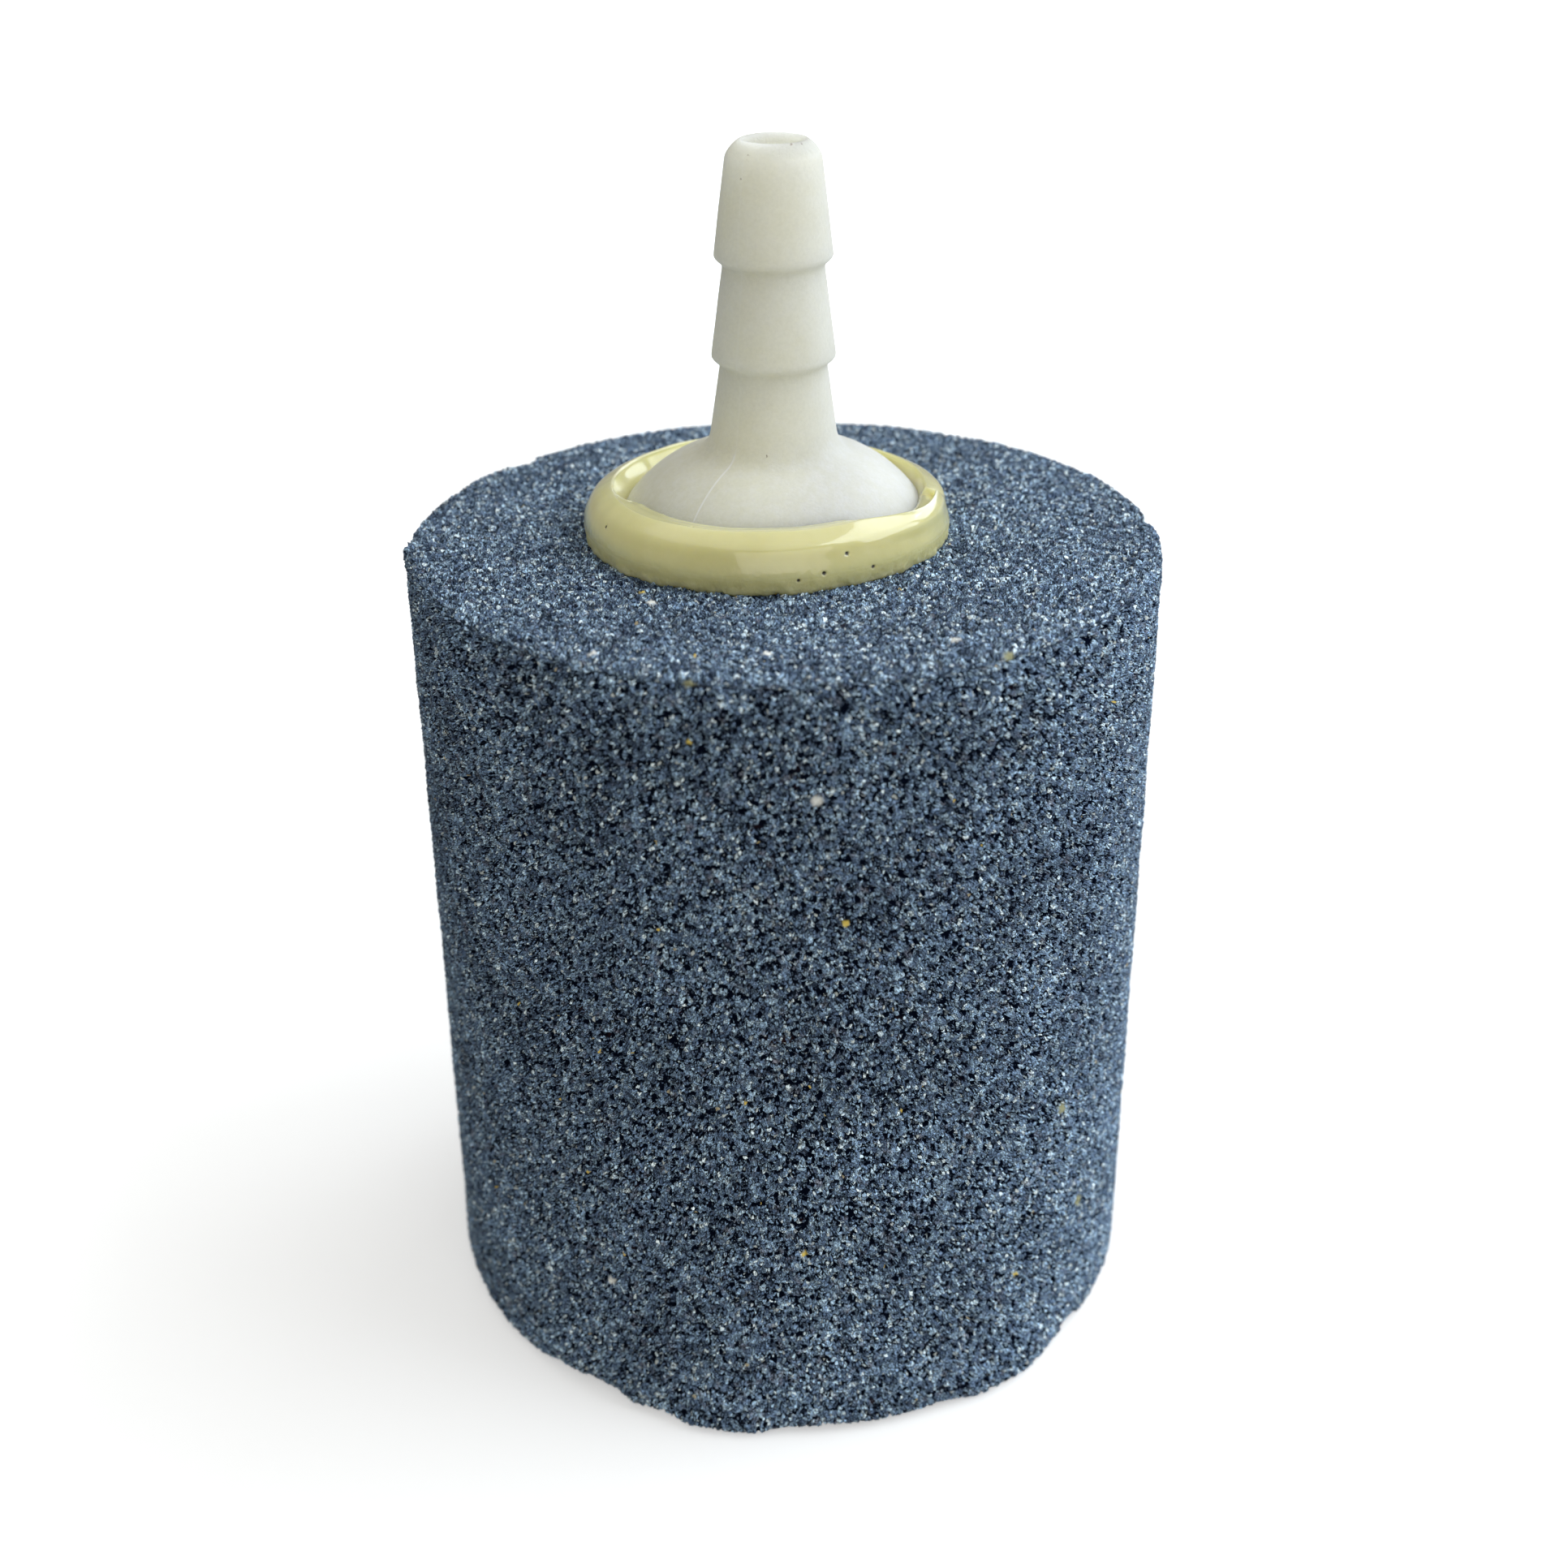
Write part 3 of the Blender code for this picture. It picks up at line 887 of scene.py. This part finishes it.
def painted_side_light_and_shade(graph, place):
    """Colour to multiply nylon by: painted light on its -X side, and painted shade on its +X side
    and its flange, for the light it carries across and loses into the stone.
    """
    side = graph.ranged(graph.split(place)[0], -PAINTED_SIDE_REACH, PAINTED_SIDE_REACH)
    # painted shade on the flange, fading out above it
    on_dome = graph.ranged(graph.above_stone(place), *DOME_LEVELS, 1.0, 0.0)
    dome_painted_shade = graph.mix(on_dome, (1.0, 1.0, 1.0), graph.mix(side, *DOME_PAINTED_SHADES))
    return graph.vector("MULTIPLY", graph.mix(side, *PAINTED_SIDE_LIGHT_AND_SHADE), dome_painted_shade)


def nylon_material():
    """Milky unfilled nylon: light passes into it, and its skin is finely frosted."""
    material, graph, shader, place = new_material("nylon")
    above = graph.above_stone(place)
    frost = graph.noise(place, FROST_SIZE, *GRITTY)
    on_flange = graph.ranged(above, *BLOOM_LEVELS, 1.0, 0.35)
    bloom = graph.ranged(graph.noise(place, BLOOM_SIZE, 4, 0.7), *BLOOM_AREAS)
    bloom = graph.times(bloom, on_flange)
    tip = graph.ranged(above, TIP_START, TIP_FULL)
    scratched = graph.bent(place, *MARK_BEND)
    marks = blemishes(graph, scratched, CONNECTOR_MARKS, CONNECTOR_X, MARK_SOFTNESS)
    base = graph.mix(graph.varied(graph.noise(place, NYLON_CLOUD_SIZE, 3)), *NYLON_TONES)
    base = graph.shade(base, graph.varied(frost, *FROST_SHADES))
    base = graph.mix(graph.times(bloom, 0.30), base, NYLON_BLOOM)
    base = graph.mix(graph.times(parting_line(graph, place), 0.8), base, NYLON_LINE)
    base = graph.mix(graph.times(tip, 0.6), base, NYLON_TIP)
    # painted light and shade, multiplied into the nylon's colour
    base = graph.vector("MULTIPLY", base, painted_side_light_and_shade(graph, place))
    base = graph.mix(graph.times(marks, 0.8), base, NYLON_MARK)
    graph.feed_named(shader, {
        "Base Color": base,
        "Subsurface Weight": 1.0,
        "Subsurface Radius": NYLON_SCATTER_TINT,
        "Subsurface Scale": NYLON_SCATTER,
        "Roughness": graph.varied(frost, *FROST_ROUGHNESS),
        "Specular IOR Level": 0.18,
    })
    skin = graph.times(frost, graph.between(graph.most([bloom, tip]), 0.5, 2.5))
    add_bump(graph, shader, skin, FROST_RISE)
    return material


def connector_section():
    """The CAD's outline softened, with its rows further apart where they can't be seen."""
    outline = eased(cad_outline("hose_connector", CONNECTOR_X), CORNER_EASING)
    following = np.roll(outline, -1, axis=0)
    covered = (outline[:, 1] + following[:, 1]) / 2 < STONE_TOP + COVERED
    in_bore = (outline[:, 0] < BORE_RADIUS) & (following[:, 0] < BORE_RADIUS)
    steps = np.hypot(*(following - outline).T) * np.where(covered | in_bore, HIDDEN_SHARE, 1.0)
    rows = int(steps.sum() / CONNECTOR_ROW)
    closed = np.concatenate([outline, outline[:1]])
    return points_along(closed, steps, np.arange(rows) * steps.sum() / rows)


def build_connector():
    """The nylon hose tail with its two barbs, flange and hidden spigot."""
    grid = turned_rows(connector_section(), round_angles(CONNECTOR_COLUMNS))
    grid[..., 0] += CONNECTOR_X + CONNECTOR_LEAN * (grid[..., 2] - STONE_TOP)
    connector = ring_piece("nylon_hose_tail", grid, nylon_material())
    add_relief(connector, connector_relief)
    place_piece(connector, "hose_connector")


# ---- Epoxy bead ----
def smooth_loops(corners, steps):
    """Catmull-Rom curves through closed loops of corners, shaped (loops, corners, 2)."""
    before = np.roll(corners, 1, axis=1)
    after = np.roll(corners, -1, axis=1)
    beyond = np.roll(corners, -2, axis=1)
    parts = []
    for t in np.arange(steps) / steps:
        parts.append(0.5 * (2 * corners + (after - before) * t
                            + (2 * before - 5 * corners + 4 * after - beyond) * t ** 2
                            + (3 * corners - before - 3 * after + beyond) * t ** 3))
    curve = np.stack(parts, axis=2)
    return curve.reshape(corners.shape[0], -1, 2)


def wave(angles, seed, lobes):
    """Smooth repeatable unevenness round the bead, about -1 to 1."""
    circle = [(lobes * cos(a), lobes * sin(a), seed) for a in angles]
    return np.array([noise.noise(Vector(point)) for point in circle]) * NOISE_GAIN


def eased_step(value, low, high):
    """0 below low, 1 above high, smooth between."""
    t = np.clip((value - low) / (high - low), 0, 1)
    return t * t * (3 - 2 * t)


def over_run(degrees, start, full, fading, end):
    """1 along a stretch of azimuths, easing in at its start and out at its end."""
    return eased_step(degrees, start, full) * (1 - eased_step(degrees, fading, end))


def bead_sections(angles):
    """Corners (radius, height) of the bead's section at each angle round the connector.

    The bead is fullest at the left and the front, and laps furthest up the flange there.
    Its end is a low tongue laid over its start, and beside that the flange is bared.
    """
    degrees = np.degrees(angles)
    full = over_run(degrees, *FULL_RUN)
    bared = over_run(degrees, *BARED_RUN)
    tongue = over_run(degrees, *TONGUE_RUN)
    front = eased_step(-np.sin(angles), -0.35, 0.55)
    slim = eased_step(-np.sin(angles), 0.2, 1.0)
    crest = BEAD_HEIGHT + (0.10 * wave(angles, 1.7, 1.5) - 0.16 * (1 - front)) * MM
    crest -= 0.30 * MM * over_run(degrees, *LOW_RUN)
    crest_radius = BEAD_RADIUS - (1.75 - 0.95 * tongue - 0.40 * bared * (1 - tongue)) * MM
    wide = BEAD_RADIUS + (0.12 * wave(angles, 5.2, 1.8) + 0.10 * tongue - 0.25 * slim) * MM
    foot = wide - (0.28 - 0.13 * wave(angles, 9.1, 6)) * MM
    lap_radius = LAP_RADIUS + (0.40 * bared - 0.75 * full + 0.10 * wave(angles, 3.3, 3)) * MM
    lap_height = LAP_HEIGHT + (0.95 * full - 0.25 * bared) * MM
    shoulder = lap_radius + (0.45 + 0.20 * full) * MM
    corners = [
        (lap_radius - 0.35 * MM, 0.6 * lap_height),
        (lap_radius, lap_height),
        (shoulder, 0.75 * crest + 0.25 * lap_height - 0.15 * MM * tongue),
        (crest_radius - 0.22 * MM, crest - (0.03 + 0.32 * tongue) * MM),
        (crest_radius, crest),
        (crest_radius + (1.00 - 0.50 * tongue) * MM, 0.83 * crest),
        (wide - 0.17 * MM, 0.58 * crest),
        (wide, 0.34 * crest),
        (wide - 0.08 * MM, 0.16 * crest),
        (foot, -0.10 * MM),
        (foot - 0.9 * MM, -BEAD_SUNK),
        (lap_radius - 0.3 * MM, -BEAD_SUNK),
    ]
    return np.stack([np.stack(np.broadcast_arrays(radius, height), axis=1)
                     for radius, height in corners], axis=1)


def bead_relief(graph, place):
    """Hand-run epoxy: soft waves, pin-holes, and a rough foot where it wets the grain."""
    above = graph.above_stone(place)
    foot = graph.ranged(above, *FOOT_LEVELS, 1.0, 0.0)
    sandy = graph.ranged(above, *SAND_LEVELS, 1.0, 0.0)
    pits = blemishes(graph, place, BEAD_PITS, BEAD_X, PIT_SOFTNESS)
    return graph.add(
        graph.times(graph.noise(place, BEAD_WAVE_SIZE), BEAD_WAVE_RISE),
        graph.times(graph.noise(place, FOOT_SIZE, *GRITTY), foot, FOOT_RISE),
        graph.times(graph.noise(place, SAND_SIZE, 2), sandy, SAND_RISE),
        graph.times(pits, -PIT_DEPTH))


def epoxy_material():
    """Cream cured epoxy: waxy body, glossy skin, dusty towards its foot."""
    material, graph, shader, place = new_material("cured_epoxy")
    low = graph.ranged(graph.above_stone(place), *DUST_LEVELS, 1.0, 0.0)
    cloud = graph.noise(place, EPOXY_CLOUD_SIZE, 3)
    grit = graph.noise(place, DUST_SIZE, 3, 0.7)
    dust = graph.times(graph.ranged(grit, *DUST_AREAS), low)
    # painted light on the -X side, painted shade from the middle to +X
    side = graph.ranged(graph.split(place)[0], -EPOXY_PAINTED_LIGHT_REACH, 0.0, *EPOXY_PAINTED_SIDE_LIGHT)
    pits = blemishes(graph, place, BEAD_PITS, BEAD_X, PIT_SOFTNESS)
    base = graph.mix(graph.varied(cloud), *EPOXY_TONES)
    base = graph.mix(graph.times(low, 0.5), base, EPOXY_FOOT)
    base = graph.shade(base, side)
    base = graph.mix(graph.times(dust, 0.35), base, EPOXY_DUST)
    base = graph.mix(pits, base, EPOXY_PIT)
    graph.feed_named(shader, {
        "Base Color": base,
        "Subsurface Weight": 0.8,
        "Subsurface Radius": EPOXY_SCATTER_TINT,
        "Subsurface Scale": EPOXY_SCATTER,
        "Roughness": graph.between(low, 0.20, 0.60),
        "Specular IOR Level": 0.3,
        "Coat Weight": graph.between(low, 1.0, 0.0),
        "Coat Roughness": graph.add(graph.between(low, 0.05, 0.5), graph.times(cloud, 0.01)),
        "Coat IOR": 1.65,
    })
    add_bump(graph, shader, graph.times(grit, graph.between(low, 0.15, 1.0)), DUST_RISE)
    return material


def build_bead():
    """The epoxy bead that seals the flange to the stone."""
    angles = round_angles(BEAD_COLUMNS)
    sections = smooth_loops(bead_sections(angles), BEAD_STEPS)
    radius = sections[..., 0].T
    height = sections[..., 1].T + STONE_TOP
    grid = np.stack([BEAD_X + radius * np.cos(angles), radius * np.sin(angles), height], axis=-1)
    bead = ring_piece("epoxy_seal_bead", grid, epoxy_material())
    add_relief(bead, bead_relief)
    place_piece(bead, "adhesive_bead")


def dress_sleeve():
    """The bedding epoxy round the hidden spigot keeps its CAD shape."""
    material, graph, shader, _ = new_material("bedding_epoxy")
    place = graph.node("ShaderNodeTexCoord").outputs["Object"]
    cloud = graph.noise(place, SLEEVE_CLOUD_SIZE, 4)
    graph.feed_named(shader, {
        "Base Color": graph.mix(graph.varied(cloud), *SLEEVE_TONES),
        "Roughness": graph.varied(cloud, 0.3, 0.6),
    })
    add_bump(graph, shader, cloud, SLEEVE_RISE)
    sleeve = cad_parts["spigot_adhesive"]
    for slot in sleeve.material_slots:
        slot.material = material


# ---- Studio ----
def paper_material():
    """Studio paper that shows paler to the camera than it is to the light it bounces."""
    material, graph, shader, _ = new_material("studio_paper")
    place = graph.node("ShaderNodeTexCoord").outputs["Object"]
    camera_ray = graph.node("ShaderNodeLightPath").outputs["Is Camera Ray"]
    glow = graph.ranged(graph.vector("LENGTH", place), *GLOW_REACH, *GLOWS)
    graph.feed_named(shader, {
        "Base Color": graph.mix(camera_ray, PAPER_BOUNCE, PAPER_SEEN),
        "Emission Color": (1, 1, 1),
        "Emission Strength": graph.times(camera_ray, glow),
        "Roughness": 0.9,
        "Specular IOR Level": 0.1,
    })
    return material


def build_stage():
    """A pale round stage whose rim sweeps up, so that no horizon shows."""
    rows = turned_rows(np.array(STAGE_OUTLINE), round_angles(STAGE_COLUMNS))
    points = np.concatenate([rows.reshape(-1, 3), [(0, 0, 0)]])
    numbers = np.arange(len(points) - 1).reshape(len(STAGE_OUTLINE), STAGE_COLUMNS)
    middle = len(points) - 1
    faces = [(a, b, middle) for a, b in zip(numbers[0].tolist(), np.roll(numbers[0], -1).tolist())]
    faces += join_rows(numbers).tolist()
    mesh = bpy.data.meshes.new("studio_floor")
    mesh.from_pydata(points.tolist(), [], faces)
    mesh.shade_smooth()
    mesh.materials.append(paper_material())
    floor = add_object("studio_floor", mesh)
    floor.location = (0, 0, -STAGE_DROP)


def area_light(name, azimuth, elevation, distance, width, height, power, colour):
    """A rectangular soft light aimed at the top of the stone."""
    data = bpy.data.lights.new(name, "AREA")
    data.shape = "RECTANGLE"
    data.size = width
    data.size_y = height
    data.energy = power
    data.color = colour
    light = add_object(name, data)
    level = distance * cos(radians(elevation))
    centre = Vector((0, 0, STONE_TOP))
    light.location = centre + around(azimuth, level, distance * sin(radians(elevation)))
    light.visible_camera = False
    light.rotation_euler = (centre - light.location).to_track_quat("-Z", "Y").to_euler()


def build_lights():
    """A soft warm sky, cool daylight from the right and behind, and a warm fill in front."""
    world = bpy.data.worlds.new("sky")
    world.use_nodes = True
    background = world.node_tree.nodes["Background"]
    background.inputs["Color"].default_value = (*SKY_COLOUR, 1)
    background.inputs["Strength"].default_value = SKY_STRENGTH
    bpy.context.scene.world = world
    for light in LIGHTS:
        area_light(*light)
    bpy.context.scene.view_settings.view_transform = "Standard"


def build_camera():
    """The camera in front of the stone and above it, with a shallow depth of field."""
    data = bpy.data.cameras.new("camera")
    data.sensor_width = SENSOR_MM
    data.lens = LENS_MM
    camera = add_object("camera", data)
    camera.location = CAMERA_PLACE
    tilt = Matrix.Rotation(radians(90 - CAMERA_DIP), 3, "X")
    roll = Matrix.Rotation(radians(CAMERA_ROLL), 3, "Z")
    camera.rotation_euler = (tilt @ roll).to_euler()
    focus = add_object("focus", None)
    focus.location = (0, 0, FOCUS_HEIGHT)
    data.dof.use_dof = True
    data.dof.focus_object = focus
    data.dof.aperture_fstop = APERTURE
    bpy.context.scene.camera = camera


build_stone()
build_connector()
build_bead()
dress_sleeve()
build_stage()
build_lights()
build_camera()
